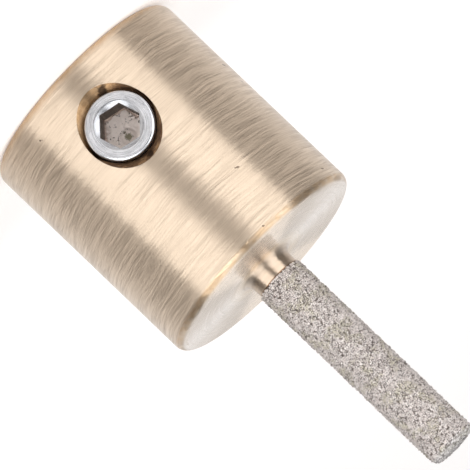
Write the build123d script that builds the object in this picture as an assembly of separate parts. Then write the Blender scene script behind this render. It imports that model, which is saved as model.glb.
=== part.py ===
from build123d import *
import math
import os

# A diamond grinding bit for a table-top glass grinder. The hub, its neck and the thin pin are turned in
# one piece from brass, a coat of diamond grit in plated metal covers the pin, and a socket set screw
# clamps the hub on the grinder's shaft. The bit stands on its rear face, centred on Z, with its pin
# pointing up. The set screw faces -Y. Lengths are in millimetres and angles in degrees.

# Hub
HUB_DIAMETER = 16.0
HUB_LENGTH = 17.5
FRONT_EDGE_RADIUS = 0.65
REAR_EDGE_RADIUS = 0.7

# Blind bore in the rear face, for the grinder's shaft
SHAFT_DIAMETER = 7.94
SHAFT_CLEARANCE = 0.03
BORE_DEPTH = 13.0
BORE_MOUTH_CHAMFER = 0.4
DRILL_POINT_ANGLE = 118.0

# Pin: a bare neck at its root, then the coated working length
CORE_DIAMETER = 3.4
CORE_TIP_RADIUS = 0.3
NECK_LENGTH = 1.3
NECK_ROOT_RADIUS = 0.6
COATED_LENGTH = 16.35
COATING_THICKNESS = 0.1
COATING_START_RADIUS = 0.06

# Set screw, M5, and the hole that it turns in. Both are plain where their threads run.
SCREW_HEIGHT = 5.3
SCREW_DIAMETER = 4.85
SCREW_LENGTH = 3.76
SCREW_RECESS = 0.2
SCREW_TOP_CHAMFER = 0.25
THREAD_CLEARANCE = 0.05
HOLE_MOUTH_DIAMETER = 6.25
HOLE_MOUTH_ANGLE = 90.0

# Hexagon socket of the set screw, and its cup point. The turn is that of one corner, from +Z towards -X.
SOCKET_ACROSS_FLATS = 2.68
SOCKET_DEPTH = 2.5
SOCKET_FLOOR_ANGLE = 160.0
SOCKET_MOUTH_DIAMETER = 3.4
SOCKET_MOUTH_ANGLE = 130.0
SOCKET_TURN = 16.5
CUP_DIAMETER = 2.5
CUP_RIM_WIDTH = 0.1
CUP_ANGLE = 120.0

# Worked out from the sizes above
hub_radius = HUB_DIAMETER / 2
bore_radius = SHAFT_DIAMETER / 2 + SHAFT_CLEARANCE
core_radius = CORE_DIAMETER / 2
core_tip = HUB_LENGTH + NECK_LENGTH + COATED_LENGTH - COATING_THICKNESS
screw_radius = SCREW_DIAMETER / 2
hole_radius = screw_radius + THREAD_CLEARANCE


def cone_height(radius, point_angle):
    """Height of a cone from its base radius to its tip, for the full angle at the tip."""
    return radius / math.tan(math.radians(point_angle / 2))


def turned(points, arcs=(), bevels=()):
    """A solid turned about Z from a half section of radius and height points.

    arcs and bevels are pairs of a point and a size: the corners there are rounded or bevelled."""
    section = make_face(Polyline(*points, close=True))
    for point, radius in arcs:
        section = fillet(section.vertices().sort_by_distance(point)[0], radius)
    for point, length in bevels:
        section = chamfer(section.vertices().sort_by_distance(point)[0], length)
    return revolve(Plane.XZ * section, Axis.Z)


def facing_out(shape, depth):
    """Place a shape that points up Z so that it points out along -Y, at this depth under the hub's side."""
    side = Plane(origin=(0, depth - hub_radius, SCREW_HEIGHT), x_dir=(1, 0, 0), z_dir=(0, -1, 0))
    return side * shape


def turned_blank():
    """The hub, the neck and the pin's core in one, with the blind bore for the shaft."""
    bore_edge = (bore_radius, 0)
    rear_edge = (hub_radius, 0)
    front_edge = (hub_radius, HUB_LENGTH)
    neck_root = (core_radius, HUB_LENGTH)
    core_end = (core_radius, core_tip)
    bore_tip = BORE_DEPTH + cone_height(bore_radius, DRILL_POINT_ANGLE)
    return turned(
        [
            (0, bore_tip),
            (bore_radius, BORE_DEPTH),
            bore_edge,
            rear_edge,
            front_edge,
            neck_root,
            core_end,
            (0, core_tip),
        ],
        arcs=[
            (rear_edge, REAR_EDGE_RADIUS),
            (front_edge, FRONT_EDGE_RADIUS),
            (neck_root, NECK_ROOT_RADIUS),
            (core_end, CORE_TIP_RADIUS),
        ],
        bevels=[(bore_edge, BORE_MOUTH_CHAMFER)],
    )


def screw_hole():
    """The cutter for the tapped hole from the hub's side into the bore, with its countersunk mouth."""
    hole = turned([(0, -hub_radius), (hole_radius, -hub_radius), (hole_radius, 0), (0, 0)])
    mouth_radius = HOLE_MOUTH_DIAMETER / 2
    mouth_tip = cone_height(mouth_radius, HOLE_MOUTH_ANGLE)
    mouth = turned([(0, -mouth_tip), (mouth_radius, 0), (0, 0)])
    return facing_out(hole + mouth, 0)


def hub():
    """The brass body: the turned blank, cross drilled for the set screw."""
    return turned_blank() - screw_hole()


def diamond_coating():
    """The coat of grit: a sleeve with a closed end that lies on the core all over."""
    start = HUB_LENGTH + NECK_LENGTH
    outer_radius = core_radius + COATING_THICKNESS
    tip = core_tip + COATING_THICKNESS
    start_edge = (outer_radius, start)
    tip_edge = (outer_radius, tip)
    core_end = (core_radius, core_tip)
    return turned(
        [(core_radius, start), start_edge, tip_edge, (0, tip), (0, core_tip), core_end],
        arcs=[
            (start_edge, COATING_START_RADIUS),
            (tip_edge, CORE_TIP_RADIUS + COATING_THICKNESS),
            (core_end, CORE_TIP_RADIUS),
        ],
    )


def screw_blank():
    """The screw's body, its top at Z = 0: bevelled at the top, with a hollow cup at its point."""
    cup_radius = CUP_DIAMETER / 2
    cup_top = cone_height(cup_radius, CUP_ANGLE) - SCREW_LENGTH
    point_bevel = screw_radius - cup_radius - CUP_RIM_WIDTH
    top_edge = (screw_radius, 0)
    point_edge = (screw_radius, -SCREW_LENGTH)
    return turned(
        [(0, 0), (0, cup_top), (cup_radius, -SCREW_LENGTH), point_edge, top_edge],
        bevels=[(top_edge, SCREW_TOP_CHAMFER), (point_edge, point_bevel)],
    )


def hex_socket():
    """The cutter for the hexagon socket: its flats, a shallow cone for its floor and a bevelled mouth."""
    inner_radius = SOCKET_ACROSS_FLATS / 2
    hexagon = RegularPolygon(inner_radius, 6, major_radius=False, rotation=90 + SOCKET_TURN)
    floor_tip = SOCKET_DEPTH + cone_height(inner_radius, SOCKET_FLOOR_ANGLE)
    floor = turned([(0, -floor_tip), (inner_radius, -SOCKET_DEPTH), (0, -SOCKET_DEPTH)])
    mouth_radius = SOCKET_MOUTH_DIAMETER / 2
    mouth_tip = cone_height(mouth_radius, SOCKET_MOUTH_ANGLE)
    mouth = turned([(0, -mouth_tip), (mouth_radius, 0), (0, 0)])
    return extrude(hexagon, -SOCKET_DEPTH) + floor + mouth


def set_screw():
    """The socket set screw, sunk just under the hub's side and clear of the bore at its point."""
    return facing_out(screw_blank() - hex_socket(), SCREW_RECESS)


os.makedirs("parts", exist_ok=True)
for build in (hub, diamond_coating, set_screw):
    export_step(build(), f"parts/{build.__name__}.step")
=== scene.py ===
import math
import random

import bpy
from mathutils import Matrix, Vector, kdtree, noise


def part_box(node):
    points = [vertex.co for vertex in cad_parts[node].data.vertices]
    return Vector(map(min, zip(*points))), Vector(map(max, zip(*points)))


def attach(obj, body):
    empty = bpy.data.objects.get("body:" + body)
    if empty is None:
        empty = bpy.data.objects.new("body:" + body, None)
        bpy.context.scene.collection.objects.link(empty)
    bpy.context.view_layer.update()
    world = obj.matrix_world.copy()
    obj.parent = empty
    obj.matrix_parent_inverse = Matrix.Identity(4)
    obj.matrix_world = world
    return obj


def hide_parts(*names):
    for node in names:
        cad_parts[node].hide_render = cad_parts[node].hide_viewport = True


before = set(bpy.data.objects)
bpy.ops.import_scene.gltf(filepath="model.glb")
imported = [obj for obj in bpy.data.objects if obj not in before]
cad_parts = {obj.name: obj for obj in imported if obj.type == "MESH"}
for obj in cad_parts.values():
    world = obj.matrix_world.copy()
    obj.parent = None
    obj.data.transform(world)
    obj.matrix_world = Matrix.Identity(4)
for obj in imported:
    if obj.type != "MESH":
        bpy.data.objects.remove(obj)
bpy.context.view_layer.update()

hub_low, hub_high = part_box("hub")
coat_low, coat_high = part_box("diamond_coating")
screw_low, screw_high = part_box("set_screw")

MM = 0.001


def millimetres(metres):
    """A length of the frame in millimetres, to the nearest thousandth."""
    return round(metres / MM, 3)


# Sizes and places of the CAD solids, in millimetres
HUB_RADIUS = millimetres(hub_high.x)
COAT_START = millimetres(coat_low.z)
COAT_TIP = millimetres(coat_high.z)
COAT_RADIUS = millimetres(coat_high.x)
SCREW_TOP = millimetres(screw_low.y)
SCREW_LENGTH = millimetres(screw_high.y - screw_low.y)
SCREW_HEIGHT = millimetres((screw_low.z + screw_high.z) / 2)

# Sizes that the boxes don't show, in millimetres
NECK_LENGTH = 1.3
COAT_THICKNESS = 0.1
NECK_ROOT_RADIUS = 0.6
HUB_LENGTH = COAT_START - NECK_LENGTH
CORE_RADIUS = COAT_RADIUS - COAT_THICKNESS

# Camera, as the photograph shows the bit: seen from the set screw's side, a little from above the front
# face, and rolled so that the pin points to the lower right.
VIEW_DISTANCE = 800.0
VIEW_AZIMUTH = math.radians(0.35)
VIEW_ELEVATION = math.radians(11.85)
AXIS_BELOW_LEVEL = math.radians(43.66)
PICTURE_SIDE = 470
PIXELS_PER_MM = 14.97
HUB_CENTRE_PIXEL = (173.3, 177.8)
SENSOR_WIDTH = 36.0
CLIP_START = 0.01
CLIP_END = 10.0

# Studio: lengths in metres. The lift is the floor's own light where it is seen, up to white.
FLOOR_HALF_SIZE = 3.0
FLOOR_COLOUR = (0.8, 0.765, 0.74, 1.0)
FLOOR_LIFT = 0.25
STUDIO_LEVEL = 0.04
WALL_COLOUR = (0.97, 1.0, 1.05, 1.0)
WALL_STARTS = 0.15
WALL_FULL = 0.8


def linear(*srgb):
    """An sRGB colour in 0 to 255 as the linear RGBA that a shader takes."""
    parts = [c / 255 for c in srgb]
    return tuple(c / 12.92 if c <= 0.04045 else ((c + 0.055) / 1.055) ** 2.4 for c in parts) + (1.0,)


# Colours of the brass, and of the stains in the screw hole's mouth, which are mixed there with painted shade
# and painted reflection
BRASS_SIDE = linear(214, 196, 175)
BRASS_FACE_DULL = linear(220, 205, 188)
BRASS_FACE_BRIGHT = linear(227, 212, 196)
# Painted highlight: a paler cream tint on the face round the neck
BRASS_NECK_HIGHLIGHT = linear(232, 212, 186)
BRASS_NECK = linear(221, 204, 186)
BRASS_AT_COAT = linear(140, 104, 72)
# Painted reflection: a darker gold along the rounded front edge and the rear edge
BRASS_EDGE_REFLECTION = linear(206, 170, 126)
NICK_COLOUR = linear(96, 80, 68)
# In the hole's mouth: stain mixed with painted shade (dark, middle) and painted reflection (pale)
STAIN_AND_SHADE_DARK = linear(126, 98, 72)
STAIN_AND_SHADE_MIDDLE = linear(182, 148, 110)
STAIN_AND_REFLECTION_PALE = linear(192, 160, 124)
DIRT_AND_SHADE_COLOUR = linear(84, 62, 50)
# Painted shade: near black where the thread breaks out in the hole's mouth
THREAD_SHADE_COLOUR = linear(50, 37, 30)

# Colours of the grit
CRYSTAL_DULL = linear(226, 215, 210)
CRYSTAL_BRIGHT = linear(255, 247, 243)
CRYSTAL_DARK = linear(124, 114, 108)
CRYSTAL_YELLOWISH = linear(214, 207, 184)
# The nickel between the crystals, also used as painted shade in the low gaps
NICKEL_AND_SHADE_GAP = linear(92, 85, 81)
# At the tip, grit that lies low or is dull in tone is darker, partly as painted shade
TIP_TONE_AND_SHADE_DARK = linear(106, 103, 101)
TIP_BRIGHT = linear(250, 247, 245)

# Colours of the steel screw and its socket
STEEL_DULL = linear(178, 180, 184)
STEEL_BRIGHT = linear(212, 213, 217)
# Painted reflection: dark streaks on the bright steel
STEEL_REFLECTION_STREAK = linear(120, 122, 128)
SOCKET_WALL_DARK = linear(92, 82, 74)
SOCKET_WALL_PALE = linear(122, 112, 103)
SOCKET_PIT = linear(124, 112, 104)
# Painted light: the socket's floor is made pale as if lit
SOCKET_FLOOR_LIGHT = linear(240, 230, 224)
SOCKET_DIMPLE = linear(136, 130, 106)

# Finish of the brass, and how strong the painted reflection along its edges is
BRASS_ROUGHNESS = 0.41
HAIR_DEPTH = 0.003
HAIR_SWING = math.radians(1.2)
EDGE_REFLECTION_FRONT = 0.55
EDGE_REFLECTION_REAR = 0.5

# The stains, painted shade and painted reflection in the hole's mouth stay inside this radius from the
# screw's axis, and end before this Y
STAIN_REACH = 3.4
STAIN_END = -3.0

# Painted shade where the thread breaks out in the hole's mouth: across, up and size, in millimetres from its
# centre
THREAD_SHADE_MARKS = ((-0.85, -2.5, 0.42), (-0.05, 2.75, 0.3))

# Nicks in the hub's side: round the hub from -Y towards +X, height and length, in millimetres
NICKS = (
    (-10.7, 6.4, 0.5),
    (-10.75, 8.0, 0.35),
    (-9.1, 16.3, 0.3),
    (-3.5, 12.9, 0.3),
    (-1.8, 17.0, 0.3),
    (4.6, 1.9, 0.4),
)
NICK_STRENGTH = 0.75


class Graph:
    """A node tree built by short calls: each makes one node and returns one of its outputs."""

    def __init__(self, tree):
        self.tree = tree
        tree.nodes.clear()

    def node(self, kind, inputs=None, **settings):
        """A new node's outputs. Inputs are values or other nodes' outputs, by name or number."""
        node = self.tree.nodes.new("ShaderNode" + kind)
        for name, value in settings.items():
            setattr(node, name, value)
        for socket, value in (inputs or {}).items():
            if isinstance(value, bpy.types.NodeSocket):
                self.tree.links.new(value, node.inputs[socket])
            else:
                node.inputs[socket].default_value = value
        return node.outputs

    def math(self, operation, a, b=0.0):
        return self.node("Math", {0: a, 1: b}, operation=operation)[0]

    def times(self, a, b):
        return self.math("MULTIPLY", a, b)

    def plus(self, a, b):
        return self.math("ADD", a, b)

    def minus(self, a, b):
        return self.math("SUBTRACT", a, b)

    def length(self, a, b):
        return self.math("SQRT", self.plus(self.times(a, a), self.times(b, b)))

    def ramp(self, value, low, high, out_low=0.0, out_high=1.0):
        """value taken smoothly from out_low at low to out_high at high, and held outside that."""
        inputs = {"Value": value, "From Min": low, "From Max": high, "To Min": out_low, "To Max": out_high}
        return self.node("MapRange", inputs, interpolation_type="SMOOTHSTEP")[0]

    def grain(self, noise, out_low, out_high):
        """A noise's usual range taken smoothly to these two values."""
        return self.ramp(noise, 0.35, 0.65, out_low, out_high)

    def mix(self, share, a, b):
        return self.node("Mix", {"Factor": share, 6: a, 7: b}, data_type="RGBA")[2]

    def dim(self, colour, share):
        """A colour multiplied by a number."""
        return self.node("VectorMath", {0: colour, "Scale": share}, operation="SCALE")[0]

    def noise(self, vector, scale, detail=2.0, roughness=0.5):
        inputs = {"Vector": vector, "Scale": scale, "Detail": detail, "Roughness": roughness}
        return self.node("TexNoise", inputs)[0]

    def bump(self, height, distance, strength, normal=None):
        """A normal that a height from 0 to 1 bends, its distance in millimetres."""
        inputs = {"Strength": strength, "Distance": distance * MM, "Height": height}
        if normal is not None:
            inputs["Normal"] = normal
        return self.node("Bump", inputs)[0]

    def vector(self, x, y, z):
        return self.node("CombineXYZ", {0: x, 1: y, 2: z})[0]

    def parts(self, vector):
        """The three parts of a vector."""
        return tuple(self.node("SeparateXYZ", {0: vector}))

    def place(self):
        """Where the shaded point is, in millimetres in the CAD frame."""
        at = self.node("TexCoord")["Object"]
        return self.node("VectorMath", {0: at, "Scale": 1 / MM}, operation="SCALE")[0]

    def surface(self, **inputs):
        """A Principled shader with these inputs, as the material's surface."""
        titles = {name: name.replace("_", " ").title().replace("Ior", "IOR") for name in inputs}
        named = {titles[name]: value for name, value in inputs.items()}
        self.show(self.node("BsdfPrincipled", named)[0], "OutputMaterial")

    def show(self, shader, output):
        self.node(output, {"Surface": shader})


def new_material(name):
    material = bpy.data.materials.new(name)
    material.use_nodes = True
    return material, Graph(material.node_tree)


def from_camera(azimuth, elevation):
    """The direction towards a place in the studio. Azimuth 0 is the camera's side and turns towards -X."""
    a = math.radians(azimuth) - VIEW_AZIMUTH
    e = math.radians(elevation)
    return Vector((-math.sin(a) * math.cos(e), -math.cos(a) * math.cos(e), math.sin(e)))


def make_camera():
    """The camera on the set screw's side, aimed so that the hub's centre falls on its own pixel."""
    data = bpy.data.cameras.new("camera")
    data.sensor_width = SENSOR_WIDTH
    data.lens = PIXELS_PER_MM * VIEW_DISTANCE / PICTURE_SIDE * SENSOR_WIDTH
    data.clip_start = CLIP_START
    data.clip_end = CLIP_END
    camera = bpy.data.objects.new("camera", data)
    bpy.context.scene.collection.objects.link(camera)

    back = from_camera(0, math.degrees(VIEW_ELEVATION))
    level = Vector((math.cos(VIEW_AZIMUTH), math.sin(VIEW_AZIMUTH), 0))
    upright = back.cross(level)
    roll = math.pi / 2 + AXIS_BELOW_LEVEL
    right = level * math.cos(roll) + upright * math.sin(roll)
    up = back.cross(right)
    across = (HUB_CENTRE_PIXEL[0] - PICTURE_SIDE / 2) / PIXELS_PER_MM
    down = (HUB_CENTRE_PIXEL[1] - PICTURE_SIDE / 2) / PIXELS_PER_MM
    hub_centre = Vector((0, 0, HUB_LENGTH / 2))
    place = hub_centre + back * VIEW_DISTANCE
    aim = hub_centre - right * across + up * down
    out = (place - aim).normalized()
    x_axis = (right - out * right.dot(out)).normalized()
    turn = Matrix((x_axis, out.cross(x_axis), out)).transposed()
    camera.matrix_world = Matrix.Translation(place * MM) @ turn.to_4x4()
    bpy.context.scene.camera = camera


def make_floor():
    """A wide pale floor at the bit's rear face, lifted to white where it is seen, also in the metal."""
    half = FLOOR_HALF_SIZE
    corners = [(-half, -half, 0), (half, -half, 0), (half, half, 0), (-half, half, 0)]
    mesh = bpy.data.meshes.new("floor")
    mesh.from_pydata(corners, [], [(0, 1, 2, 3)])
    floor = bpy.data.objects.new("floor", mesh)
    bpy.context.scene.collection.objects.link(floor)
    material, g = new_material("floor_paper")
    paper = g.node("BsdfDiffuse", {"Color": FLOOR_COLOUR})[0]
    ray = g.node("LightPath")
    seen = g.math("MAXIMUM", ray["Is Camera Ray"], ray["Is Glossy Ray"])
    seen = g.math("MAXIMUM", seen, ray["Is Transmission Ray"])
    lift = g.node("Emission", {"Strength": g.times(seen, FLOOR_LIFT)})[0]
    g.show(g.node("AddShader", {0: paper, 1: lift})[0], "OutputMaterial")
    floor.data.materials.append(material)


def make_world():
    """A white wall behind the bit and a dark studio beside it, and white wherever the camera looks."""
    world = bpy.data.worlds.new("studio")
    bpy.context.scene.world = world
    world.use_nodes = True
    g = Graph(world.node_tree)
    across, behind, _ = g.parts(g.node("TexCoord")["Generated"])
    behind = g.math("DIVIDE", behind, g.math("MAXIMUM", g.length(across, behind), 0.001))
    seen = g.node("LightPath")["Is Camera Ray"]
    wall = g.ramp(behind, WALL_STARTS, WALL_FULL, STUDIO_LEVEL, 1.0)
    strength = g.math("MAXIMUM", wall, seen)
    colour = g.mix(seen, WALL_COLOUR, (1, 1, 1, 1))
    g.show(g.node("Background", {"Color": colour, "Strength": strength})[0], "OutputWorld")


def softbox(name, azimuth, elevation, distance, width, height, radiance):
    """A rectangular lamp that faces the hub, with the radiance of its surface against white's 1."""
    data = bpy.data.lights.new(name, "AREA")
    data.shape = "RECTANGLE"
    data.size = width
    data.size_y = height
    data.energy = radiance * math.pi * width * height
    lamp = bpy.data.objects.new(name, data)
    bpy.context.scene.collection.objects.link(lamp)
    out = from_camera(azimuth, elevation)
    lamp.location = out * distance + Vector((0, 0, HUB_LENGTH / 2 * MM))
    lamp.rotation_mode = "QUATERNION"
    lamp.rotation_quaternion = out.to_track_quat("Z", "Y")


def make_lights():
    """Two tall softboxes on the camera's side, left and right of it, and a weak one overhead."""
    softbox("softbox_left", azimuth=40.7, elevation=30, distance=0.6, width=0.52, height=0.6, radiance=2.9)
    softbox("softbox_right", azimuth=-39.4, elevation=30, distance=0.6, width=0.575, height=0.6, radiance=2.9)
    softbox("overhead", azimuth=0, elevation=90, distance=0.8, width=1.1, height=1.1, radiance=0.6)


def hairs(g, place, path, tilt, along, across):
    """Noise drawn out into short hairs round the axis, leaning by a small tilt.

    path counts up along the hub's section. along and across are the noise's scales, for each millimetre."""
    x, y, _ = g.parts(place)
    leaning = g.plus(path, g.plus(g.times(x, tilt), g.times(y, 0.6 * tilt)))
    stretched = g.vector(g.times(x, along), g.times(y, along), g.times(leaning, across))
    return g.noise(stretched, 1.0, 2.0, 0.6)


def hole_stain_and_shade(g, place, radius):
    """The screw hole's mouth: how far a point is in it, and its colour, from pale gold to nearly black:
    partly stain, partly painted reflection on its rearward side and painted shade on the rest and nearer the
    screw.
    """
    x, y, z = g.parts(place)
    up = g.minus(z, SCREW_HEIGHT)
    from_axis = g.length(x, up)
    inside = g.times(g.ramp(from_axis, STAIN_REACH, STAIN_REACH - 0.1), g.ramp(y, STAIN_END, STAIN_END - 0.5))
    inside = g.times(g.ramp(radius, HUB_RADIUS - 0.005, HUB_RADIUS - 0.05), inside)

    # Painted reflection and painted shade: pale gold on the rearward side, dark on the others and nearer the
    # screw, with random blotches of stain
    rearward = g.plus(g.times(x, 0.5), g.times(up, -0.87))
    blotches = g.noise(place, 2.4, 3.0, 0.6)
    pale = g.plus(g.ramp(rearward, 0.3, 2.6, -0.25, 0.7), g.ramp(from_axis, 2.5, 3.1, -0.2, 0.2))
    pale = g.plus(pale, g.ramp(blotches, 0.3, 0.7, -0.3, 0.3))
    colour = g.mix(g.ramp(pale, -0.4, 0.3), STAIN_AND_SHADE_DARK, STAIN_AND_SHADE_MIDDLE)
    colour = g.mix(g.ramp(pale, 0.3, 0.9), colour, STAIN_AND_REFLECTION_PALE)

    # Dirt streaks, laid on most on the side with painted shade
    streaks = g.noise(g.vector(g.times(x, 1.6), g.times(from_axis, 7.0), g.times(up, 1.6)), 1.0, 3.0, 0.7)
    dirt_and_shade = g.times(g.ramp(streaks, 0.6, 0.42), g.ramp(rearward, 2.2, -0.5, 0.25, 0.8))
    colour = g.mix(dirt_and_shade, colour, DIRT_AND_SHADE_COLOUR)

    # Painted shade: dark ragged spots where the thread breaks out
    for at_x, at_up, size in THREAD_SHADE_MARKS:
        away = g.length(g.minus(x, at_x), g.minus(up, at_up))
        away = g.plus(away, g.ramp(g.noise(place, 3.0, 1.0), 0.3, 0.7, -0.1, 0.1))
        colour = g.mix(g.ramp(away, 1.2 * size, 0.4 * size, 0.0, 0.9), colour, THREAD_SHADE_COLOUR)
    return inside, colour


def nicks(g, place):
    """How far a point is in one of the hub's nicks."""
    x, y, z = g.parts(place)
    round_hub = g.times(g.math("ARCTAN2", x, g.times(y, -1.0)), HUB_RADIUS)
    ragged = g.ramp(g.noise(place, 5.0, 2.0), 0.3, 0.7, -0.12, 0.12)
    nicked = 0.0
    for at_round, at_z, length in NICKS:
        along = g.minus(round_hub, at_round)
        down = g.plus(g.minus(z, at_z), g.times(along, 0.4))
        away = g.plus(g.length(along, g.times(down, 2.5)), ragged)
        nicked = g.math("MAXIMUM", nicked, g.ramp(away, 0.6 * length, 0.2 * length))
    return nicked


def scratches(g, place, path):
    """How scratched a point is: hairs that lean both ways, in patches."""
    leaning = hairs(g, place, path, 0.1, 0.25, 13.0)
    counter = hairs(g, place, path, -0.08, 0.25, 13.0)
    patches = g.ramp(g.noise(place, 0.5, 2.0), 0.35, 0.6, 0.3, 1.0)
    return g.times(g.math("MAXIMUM", g.ramp(leaning, 0.6, 0.68), g.ramp(counter, 0.62, 0.7)), patches)


def clean_brass(g, place, radius, face):
    """The brass's colour without its hairs and stains: paler on the face, with a painted highlight round the
    neck, and golden along the edges as painted reflection.
    """
    _, _, z = g.parts(place)
    mottle = g.grain(g.noise(place, 1.3, 3.0, 0.65), 0.0, 1.0)
    colour = g.mix(face, BRASS_SIDE, g.mix(mottle, BRASS_FACE_DULL, BRASS_FACE_BRIGHT))
    # Painted highlight: the face is tinted paler cream round the neck
    neck_highlight = g.ramp(radius, CORE_RADIUS + 2.1, CORE_RADIUS + 0.7, 0.0, 0.7)
    colour = g.mix(g.times(face, neck_highlight), colour, BRASS_NECK_HIGHLIGHT)
    neck = g.ramp(radius, CORE_RADIUS + 1.1, CORE_RADIUS - 0.1)
    colour = g.mix(g.times(face, neck), colour, BRASS_NECK)
    colour = g.mix(g.ramp(z, COAT_START - 0.12, COAT_START - 0.03), colour, BRASS_AT_COAT)

    # Painted reflection: a darker gold band along the rounded front edge and the rear edge, patchy by noise
    front_edge = g.ramp(z, HUB_LENGTH - 0.6, HUB_LENGTH - 0.4)
    front_edge = g.times(front_edge, g.ramp(z, HUB_LENGTH - 0.05, HUB_LENGTH - 0.2))
    front_edge = g.times(front_edge, g.ramp(radius, HUB_RADIUS - 1.0, HUB_RADIUS - 0.8))
    rear_edge = g.ramp(z, 0.65, 0.25)
    gold = g.math("MAXIMUM", g.times(front_edge, EDGE_REFLECTION_FRONT), g.times(rear_edge, EDGE_REFLECTION_REAR))
    gold = g.times(gold, g.ramp(g.noise(place, 1.5), 0.3, 0.6, 0.4, 1.0))
    return g.mix(gold, colour, BRASS_EDGE_REFLECTION)


def brushed_normal(g, place, path, fine, tangent):
    """The surface's normal, swung a little along the brushing by its hairs."""
    swing = g.grain(hairs(g, place, path, 0.05, 0.3, 13.0), -HAIR_SWING, HAIR_SWING)
    aside = g.node("VectorMath", {0: tangent, "Scale": swing}, operation="SCALE")[0]
    swung = g.node("VectorMath", {0: g.node("NewGeometry")["Normal"], 1: aside}, operation="ADD")[0]
    swung = g.node("VectorMath", {0: swung}, operation="NORMALIZE")[0]
    return g.bump(fine, HAIR_DEPTH, 1.0, swung)


def brass_roughness(g, z, radius, face, fine, scratched):
    """Rougher in its scratches and at the neck's root, smoother on the flat face."""
    spread = g.times(g.grain(fine, 0.085, -0.085), g.ramp(face, 0.0, 1.0, 1.0, 0.4))
    smooth = g.ramp(z, HUB_LENGTH - 0.12, HUB_LENGTH - 0.02)
    smooth = g.times(smooth, g.ramp(radius, CORE_RADIUS + 0.3, CORE_RADIUS + 0.8))
    root_edge = CORE_RADIUS + NECK_ROOT_RADIUS
    root = g.times(face, g.ramp(radius, root_edge + 0.5, root_edge))
    root = g.times(g.ramp(z, HUB_LENGTH + 0.9, HUB_LENGTH + 0.4), root)
    rough = g.plus(g.plus(spread, BRASS_ROUGHNESS), g.times(scratched, 0.13))
    return g.plus(rough, g.plus(g.times(smooth, -0.13), g.times(root, 0.06)))


def brass_material():
    """Finely turned brass: brushed round the axis, golden along its edges as painted reflection, with a
    painted highlight round the neck, and stained in the screw's hole, where painted shade and painted
    reflection are mixed in.
    """
    material, g = new_material("turned_brass")
    place = g.place()
    x, y, z = g.parts(place)
    radius = g.length(x, y)
    path = g.plus(g.plus(z, radius), g.times(g.noise(place, 0.3, 1.0), 0.4))
    face = g.ramp(z, HUB_LENGTH - 0.2, HUB_LENGTH - 0.03)
    fine = hairs(g, place, path, 0.0, 0.3, 15.0)
    scratched = scratches(g, place, path)

    tone = g.plus(g.grain(fine, 0.975, 1.02), g.times(scratched, -0.06))
    colour = g.dim(clean_brass(g, place, radius, face), tone)
    colour = g.mix(g.times(nicks(g, place), NICK_STRENGTH), colour, NICK_COLOUR)
    # Stains in the hole's mouth, mixed with painted shade and painted reflection
    inside, stain_and_shade = hole_stain_and_shade(g, place, radius)
    tangent = g.node("Tangent", direction_type="RADIAL", axis="Z")[0]
    g.surface(
        base_color=g.mix(inside, colour, stain_and_shade),
        metallic=1.0,
        roughness=brass_roughness(g, z, radius, face, fine, scratched),
        anisotropic=1.0,
        anisotropic_rotation=0.25,
        tangent=tangent,
        normal=brushed_normal(g, place, path, fine, tangent),
    )
    return material


def levelled_normal(g, place, end):
    """The grit's normal, mostly that of the smooth coat under it, so that its shading stays soft."""
    x, y, _ = g.parts(place)
    outward = g.node("VectorMath", {0: g.vector(x, y, g.times(end, 4.0))}, operation="NORMALIZE")[0]
    own = g.node("TexCoord")["Normal"]
    levelled = g.node("Mix", {"Factor": GRIT_LEVELLED, 4: own, 5: outward}, data_type="VECTOR")[1]
    spaces = {"convert_from": "OBJECT", "convert_to": "WORLD"}
    return g.node("VectorTransform", {0: levelled}, vector_type="NORMAL", **spaces)[0]


def grit_colour(g, place, tone, height, tint):
    """The colour of the grit: pale crystals, a few dark or yellowish, over darker gaps, which are the
    nickel's own colour deepened as painted shade where the grit lies low.
    """
    colour = g.mix(g.ramp(tone, 0.0, 1.0), CRYSTAL_DULL, CRYSTAL_BRIGHT)
    colour = g.mix(g.ramp(tone, 0.1, 0.05), colour, CRYSTAL_DARK)
    yellowish = g.times(g.ramp(g.noise(place, 0.9), 0.5, 0.62), g.ramp(tint, 0.2, 0.8, 0.2, 0.7))
    colour = g.mix(yellowish, colour, CRYSTAL_YELLOWISH)

    clusters = g.grain(g.noise(place, 1.4, 2.0), -0.05, 0.05)
    specks = g.ramp(g.plus(g.noise(place, 11.0, 2.0, 0.6), clusters), 0.4, 0.35)
    # Painted shade: the lower the grit lies between crystals, the darker; random dark specks join it
    gap_and_shade = g.math("MAXIMUM", g.ramp(height, 0.3, 0.05), specks)
    return g.mix(gap_and_shade, colour, NICKEL_AND_SHADE_GAP)


def grit_material():
    """Diamond grit in plated nickel, darker between its crystals at the tip, as painted shade in its low
    places.

    The mesh carries each point's crystal: its tone, its height and its tint, from 0 to 1."""
    material, g = new_material("diamond_grit")
    place = g.place()
    _, _, z = g.parts(place)
    tone, height, tint = g.parts(g.node("Attribute", attribute_name="grit")["Vector"])
    colour = grit_colour(g, place, tone, height, tint)
    end = g.ramp(z, COAT_TIP - 0.4, COAT_TIP - 0.05)
    # Painted shade at the tip: the lower and duller the grit, the darker
    end_colour = g.mix(g.ramp(g.plus(tone, height), 0.6, 1.3), TIP_TONE_AND_SHADE_DARK, TIP_BRIGHT)
    levelled = levelled_normal(g, place, end)
    g.surface(
        base_color=g.mix(g.times(end, 0.5), colour, end_colour),
        metallic=0.0,
        specular_ior_level=0.15,
        roughness=g.ramp(tint, 0.0, 1.0, 0.35, 0.6),
        normal=g.bump(g.noise(place, 25.0), 0.01, 0.5, levelled),
        coat_weight=1.0,
        coat_roughness=1.0,
        coat_ior=1.0,
        coat_tint=(0.88, 0.88, 0.88, 1.0),
        coat_normal=levelled,
    )
    return material


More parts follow.
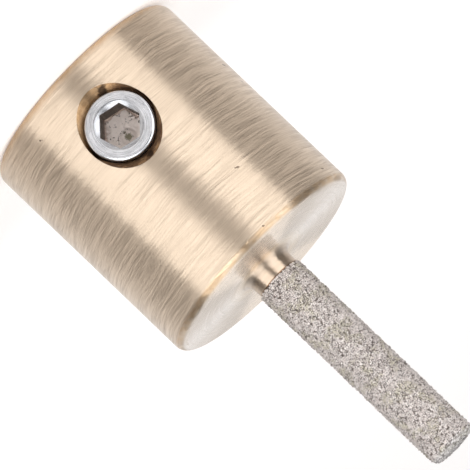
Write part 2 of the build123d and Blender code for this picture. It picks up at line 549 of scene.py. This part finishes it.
def socket_colour(g, across, up, y, pits):
    """The hexagon socket's colour: dull walls and a pitted floor with a darker dimple, the floor painted pale
    as painted light.
    """
    wall = g.mix(g.ramp(pits, 0.3, 0.7), SOCKET_WALL_DARK, SOCKET_WALL_PALE)
    # Painted light: the socket's pitted floor is made pale as if lit
    bottom = g.mix(g.ramp(pits, 0.34, 0.41), SOCKET_PIT, SOCKET_FLOOR_LIGHT)
    from_dimple = g.length(g.minus(across, -DIMPLE_PLACE[0]), g.minus(up, DIMPLE_PLACE[1]))
    from_dimple = g.plus(from_dimple, g.ramp(pits, 0.3, 0.7, -0.12, 0.12))
    bottom = g.mix(g.ramp(from_dimple, 0.34, 0.14, 0.0, 0.9), bottom, SOCKET_DIMPLE)
    floor = g.ramp(y, SCREW_TOP + SOCKET_DEPTH - 0.2, SCREW_TOP + SOCKET_DEPTH - 0.08)
    return g.mix(floor, wall, bottom)


def steel_material():
    """Bright plated steel, turned in fine rings, with dark streaks of painted reflection, and dull and dark
    down in the socket, whose floor is painted pale as painted light.
    """
    material, g = new_material("plated_steel")
    place = g.place()
    across, y, z = g.parts(place)
    up = g.minus(z, SCREW_HEIGHT)
    radius = g.length(across, up)
    rings = g.noise(g.vector(g.times(across, 0.6), g.times(radius, 14.0), g.times(up, 0.6)), 1.0, 2.0)
    patches = g.noise(place, 1.6, 3.0, 0.6)
    pits = g.noise(place, 3.5, 4.0, 0.7)
    streaks = g.vector(g.times(across, 1.8), g.times(radius, 11.0), g.times(up, 1.8))
    streaks = g.noise(streaks, 1.0, 3.0, 0.65)
    in_mouth = g.ramp(radius, SOCKET_MOUTH + 0.05, SOCKET_MOUTH - 0.05)
    bevel = g.times(g.ramp(y, SCREW_TOP + 0.005, SCREW_TOP + 0.03), in_mouth)
    inside = g.times(g.ramp(y, SCREW_TOP + 0.2, SCREW_TOP + 0.3), in_mouth)

    colour = g.mix(g.grain(rings, 0.0, 1.0), STEEL_DULL, STEEL_BRIGHT)
    colour = g.dim(colour, g.grain(patches, 0.9, 1.04))
    # Painted reflection: dark streaks in rings round the screw
    colour = g.mix(g.ramp(streaks, 0.4, 0.33, 0.0, 0.6), colour, STEEL_REFLECTION_STREAK)
    colour = g.dim(colour, g.ramp(g.times(bevel, pits), 0.1, 0.5, 1.0, 0.7))
    colour = g.mix(inside, colour, socket_colour(g, across, up, y, pits))
    rough = g.plus(g.ramp(rings, 0.3, 0.7, 0.22, 0.34), g.times(inside, 0.3))
    g.surface(base_color=colour, metallic=1.0, roughness=rough, normal=g.bump(rings, 0.004, 0.6))
    return material


def new_piece(name, vertices, faces, material, node, body):
    """A mesh piece given in millimetres, which stands for a CAD node."""
    mesh = bpy.data.meshes.new(name)
    mesh.from_pydata([tuple(c * MM for c in v) for v in vertices], [], faces)
    mesh.validate()
    piece = bpy.data.objects.new(name, mesh)
    bpy.context.scene.collection.objects.link(piece)
    mesh.materials.append(material)
    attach(piece, body)
    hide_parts(node)
    return piece


def ring_faces(rings, around):
    """Faces that join closed rings of points, from a first single point to a last single point."""
    faces = [(0, 1 + (k + 1) % around, 1 + k) for k in range(around)]
    for ring in range(rings - 1):
        a = 1 + ring * around
        b = a + around
        for k in range(around):
            m = (k + 1) % around
            faces.append((a + k, a + m, b + m, b + k))
    last = 1 + rings * around
    a = last - around
    faces += [(a + k, a + (k + 1) % around, last) for k in range(around)]
    return faces


def arc(centre_radius, centre_z, size, start, end, steps):
    """Points of radius and height on a quarter of a rounded edge, its angles in degrees."""
    angles = [math.radians(start + (end - start) * k / steps) for k in range(steps + 1)]
    return [(centre_radius + size * math.cos(a), centre_z + size * math.sin(a)) for a in angles]


def spaced(a, b, step):
    """Points from a towards b, b left out, about this far apart."""
    count = max(1, round(math.dist(a, b) / step))
    return [(a[0] + (b[0] - a[0]) * k / count, a[1] + (b[1] - a[1]) * k / count) for k in range(count)]


# The coat's grit. Its nickel lies just outside the core, and its crystals stand a little above the CAD coat.
GRIT_STEP = 0.046
GRIT_AROUND = 250
GRIT_SPACING = 0.13
GRIT_ROW_SPACING = 0.87
GRIT_JITTER = 0.3
GRIT_SHIFT = 0.045
GRIT_TILT = 0.3
GRIT_SMALLEST = 0.25
GRIT_HEIGHT = 0.15
GRIT_HEIGHT_AT_TIP = 0.09
GRIT_ABOVE = 0.06
GRIT_FLANK = 0.025
GRIT_LEVELLED = 0.9
TIP_ROUNDING = 0.31
TIP_STEPS = 10
SHELL_SINK = 0.02
SHELL_END = 0.4

# Tone, height and tint, from 0 to 1, on the shell's inside and at the very tip
GRIT_INSIDE = (0.5, 0.0, 0.5)
GRIT_AT_TIP = (0.5, 0.5, 0.5)


def round_axis(radius, angle, z):
    """A point at a radius and an angle round the bit's axis."""
    return (radius * math.cos(angle), radius * math.sin(angle), z)


def coat_profile():
    """The nickel under the grit, from the coat's start to its tip, as points of radius and height."""
    radius = COAT_RADIUS + GRIT_ABOVE - GRIT_HEIGHT
    tip = COAT_TIP - GRIT_HEIGHT_AT_TIP
    end_radius = radius - TIP_ROUNDING
    side_end = tip - TIP_ROUNDING
    points = spaced((radius, COAT_START), (radius, side_end), GRIT_STEP)
    points += arc(end_radius, side_end, TIP_ROUNDING, 0, 90, TIP_STEPS)
    points += spaced((end_radius, tip), (0.0, tip), GRIT_STEP)[1:]
    return points


def crystals(profile):
    """Places for crystals all over the coat, and each one's size, tilt, tone and tint."""
    random.seed(7)
    places = []
    travelled = 0.0
    for (r0, z0), (r1, z1) in zip(profile, profile[1:]):
        travelled += math.dist((r0, z0), (r1, z1))
        if travelled < GRIT_SPACING * GRIT_ROW_SPACING:
            continue
        travelled = 0.0
        count = max(1, round(2 * math.pi * r1 / GRIT_SPACING))
        first = random.random()
        for k in range(count):
            a = 2 * math.pi * (k + first + random.uniform(-GRIT_JITTER, GRIT_JITTER)) / count
            shift = random.uniform(-GRIT_SHIFT, GRIT_SHIFT)
            places.append(Vector(round_axis(r1, a, z1 + shift)))
    looks = []
    for _ in places:
        tilt = Vector((random.gauss(0, 1), random.gauss(0, 1), random.gauss(0, 1))) * GRIT_TILT
        size = GRIT_SMALLEST + (1 - GRIT_SMALLEST) * random.random() ** 2
        looks.append((size, tilt, random.random(), random.random()))
    return places, looks


def search_tree(places):
    """The places in a tree that finds the nearest ones to a point."""
    tree = kdtree.KDTree(len(places))
    for k, place in enumerate(places):
        tree.insert(place, k)
    tree.balance()
    return tree


def crystal_at(point, tree, looks):
    """The tone, height and tint of the grit at a point of the coat, from 0 to 1.

    It rises as high as its nearest crystal's tilted top, and sinks where the next one is as near."""
    (centre, k, nearest), (_, _, next_nearest) = tree.find_n(point, 2)
    size, tilt, tone, tint = looks[k]
    rise = size + tilt.dot(point - centre) / GRIT_SPACING
    rise = max(0.0, min(1.0, rise)) * min(1.0, (next_nearest - nearest) / 2 / GRIT_FLANK)
    return tone, rise, tint


def way_out(profile, index):
    """The direction out of the coat at a point of its profile, in radius and height."""
    before = profile[max(0, index - 1)]
    after = profile[min(len(profile) - 1, index + 1)]
    run = math.dist(before, after)
    return (after[1] - before[1]) / run, (before[0] - after[0]) / run


def grit_coat(material):
    """The coat of grit as one closed shell whose outside is crowded with crystals."""
    profile = coat_profile()
    places, looks = crystals(profile)
    tree = search_tree(places)
    angles = [2 * math.pi * k / GRIT_AROUND for k in range(GRIT_AROUND)]

    inner = CORE_RADIUS - SHELL_SINK
    inside_rings = [(inner, COAT_TIP - SHELL_END), (inner, COAT_START)]
    vertices = [(0.0, 0.0, COAT_TIP - SHELL_END)]
    vertices += [round_axis(radius, a, z) for radius, z in inside_rings for a in angles]
    grit = [GRIT_INSIDE] * len(vertices)
    for index, (radius, z) in enumerate(profile):
        out_r, out_z = way_out(profile, index)
        full_height = GRIT_HEIGHT + (GRIT_HEIGHT_AT_TIP - GRIT_HEIGHT) * max(0.0, out_z)
        for a in angles:
            crystal = crystal_at(Vector(round_axis(radius, a, z)), tree, looks)
            step = crystal[1] * full_height
            vertices.append(round_axis(radius + out_r * step, a, z + out_z * step))
            grit.append(crystal)
    vertices.append((0.0, 0.0, COAT_TIP - GRIT_HEIGHT_AT_TIP))
    grit.append(GRIT_AT_TIP)

    faces = ring_faces(len(inside_rings) + len(profile), GRIT_AROUND)
    piece = new_piece("grit_coat", vertices, faces, material, "diamond_coating", "bit")
    attribute = piece.data.attributes.new("grit", "FLOAT_VECTOR", "POINT")
    attribute.data.foreach_set("vector", [c for v in grit for c in v])
    return piece


# Detailed set screw, in millimetres: depths are below its top, and angles turn from +Z towards -X.
SOCKET_FLAT = 1.34
SOCKET_TURN = math.radians(16.5)
SOCKET_DEPTH = 2.5
DIMPLE_PLACE = (-0.1, 0.4)
DIMPLE_RADIUS = 0.58
DIMPLE_DEPTH = 0.08
SOCKET_MOUTH = 1.7
SOCKET_MOUTH_SLOPE = math.tan(math.radians(65))
SOCKET_FLOOR_RISE = 0.06
SOCKET_FLOOR_ROUGHNESS = 0.03
SOCKET_FLOOR_GRAIN = 3.0
SOCKET_EDGE_STARTS = 0.92
SOCKET_EDGE_DEPTH = 0.12
SCREW_AROUND = 240
THREAD_STEPS = 72
FLOOR_STEPS = 14
EDGE_STEPS = 6
FLAT_STEPS = 4
SCREW_RIM = 2.16
SCREW_EDGE = 0.25
THREAD_CREST = 2.41
THREAD_ROOT = 1.98
THREAD_PITCH = 0.8
THREAD_STEEPNESS = 2.6
THREAD_ROOT_SHARE = 0.15
THREAD_FULL_DEPTH = 0.75
THREAD_RUN_IN = 0.5
CUP_RIM = 1.35
CUP_RADIUS = 1.25
CUP_SLOPE = math.tan(math.radians(60))


def flat_radius(angle):
    """Radius of the hexagon socket at an angle."""
    turn = (angle - SOCKET_TURN) % (math.pi / 3) - math.pi / 6
    return SOCKET_FLAT / math.cos(turn)


def thread_radius(depth, angle):
    """Radius of the screw's thread, which starts as it leaves the top bevel and ends in the point bevel."""
    phase = (depth / THREAD_PITCH + angle / (2 * math.pi)) % 1.0
    flank = min(1.0, max(0.0, abs(phase - 0.5) * THREAD_STEEPNESS - THREAD_ROOT_SHARE))
    run_in = min(1.0, max(0.0, (THREAD_FULL_DEPTH - depth) / THREAD_RUN_IN))
    root = THREAD_ROOT + (THREAD_CREST - THREAD_ROOT) * run_in
    radius = root + (THREAD_CREST - root) * flank
    edge = 1 - min(1.0, depth / SCREW_EDGE)
    rounded = SCREW_RIM + (THREAD_CREST - SCREW_RIM) * math.sqrt(1 - edge * edge)
    return min(radius, rounded, CUP_RIM + SCREW_LENGTH - depth)


def socket_floor(share, angle):
    """A point of the socket's rough floor: nearly flat, with a round dimple and a ragged edge."""
    radius = share * flat_radius(angle)
    spot = Vector((radius * math.sin(angle), radius * math.cos(angle), 0))
    rough = noise.fractal(spot * SOCKET_FLOOR_GRAIN, 1.0, 2.0, 4)
    from_dimple = (spot - Vector((*DIMPLE_PLACE, 0))).length
    dimple = DIMPLE_DEPTH * max(0.0, 1 - (from_dimple / DIMPLE_RADIUS) ** 6)
    at_edge = max(0.0, min(1.0, (share - SOCKET_EDGE_STARTS + 0.12 * rough) / 0.06))
    uneven = dimple + SOCKET_EDGE_DEPTH * at_edge + SOCKET_FLOOR_ROUGHNESS * rough
    return radius, SOCKET_DEPTH + SOCKET_FLOOR_RISE * (1 - radius) + uneven


def shares(count):
    """Even steps from just above 0 up to 1."""
    return [k / count for k in range(1, count + 1)]


def screw_profile(angle):
    """The screw's section at one angle as radius and depth, from its socket floor round to its cup."""
    flat = flat_radius(angle)
    mouth = (SOCKET_MOUTH - flat) / SOCKET_MOUTH_SLOPE
    points = [socket_floor(share, angle) for share in shares(FLOOR_STEPS)]
    bottom = points[-1][1]
    points += [(flat, bottom + (mouth - bottom) * share) for share in shares(EDGE_STEPS)]
    points += [(flat + (SOCKET_MOUTH - flat) * share, mouth * (1 - share)) for share in shares(FLAT_STEPS)]
    points += [(SOCKET_MOUTH + (SCREW_RIM - SOCKET_MOUTH) * share, 0.0) for share in shares(FLAT_STEPS)]
    depths = [SCREW_EDGE * share**2 for share in shares(EDGE_STEPS)]
    depths += [SCREW_EDGE + (SCREW_LENGTH - SCREW_EDGE) * share for share in shares(THREAD_STEPS)]
    points += [(thread_radius(depth, angle), depth) for depth in depths]
    for share in reversed(shares(EDGE_STEPS)):
        points.append((CUP_RADIUS * share, SCREW_LENGTH - CUP_RADIUS * (1 - share) / CUP_SLOPE))
    return points


def detailed_screw(material):
    """The set screw with its thread, its worn socket and its cup, as one closed mesh."""
    angles = [2 * math.pi * k / SCREW_AROUND for k in range(SCREW_AROUND)]
    sections = [screw_profile(a) for a in angles]
    rings = len(sections[0])
    centre_floor = socket_floor(0.0, 0.0)[1]
    cup_top = SCREW_LENGTH - CUP_RADIUS / CUP_SLOPE
    vertices = [(0.0, SCREW_TOP + centre_floor, SCREW_HEIGHT)]
    for ring in range(rings):
        for a, section in zip(angles, sections):
            radius, depth = section[ring]
            vertices.append((-radius * math.sin(a), SCREW_TOP + depth, SCREW_HEIGHT + radius * math.cos(a)))
    vertices.append((0.0, SCREW_TOP + cup_top, SCREW_HEIGHT))
    faces = ring_faces(rings, SCREW_AROUND)
    piece = new_piece("threaded_screw", vertices, faces, material, "set_screw", "clamp_screw")
    piece.data.shade_smooth()
    piece.data.set_sharp_from_angle(angle=math.radians(30))
    return piece


def dress(node, material):
    """Give a CAD node's faces one material."""
    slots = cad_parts[node].data.materials
    slots.clear()
    slots.append(material)


make_camera()
make_floor()
make_world()
make_lights()
dress("hub", brass_material())
grit = grit_material()
dress("diamond_coating", grit)
grit_coat(grit)
steel = steel_material()
dress("set_screw", steel)
detailed_screw(steel)
bpy.context.scene.view_settings.view_transform = "Standard"
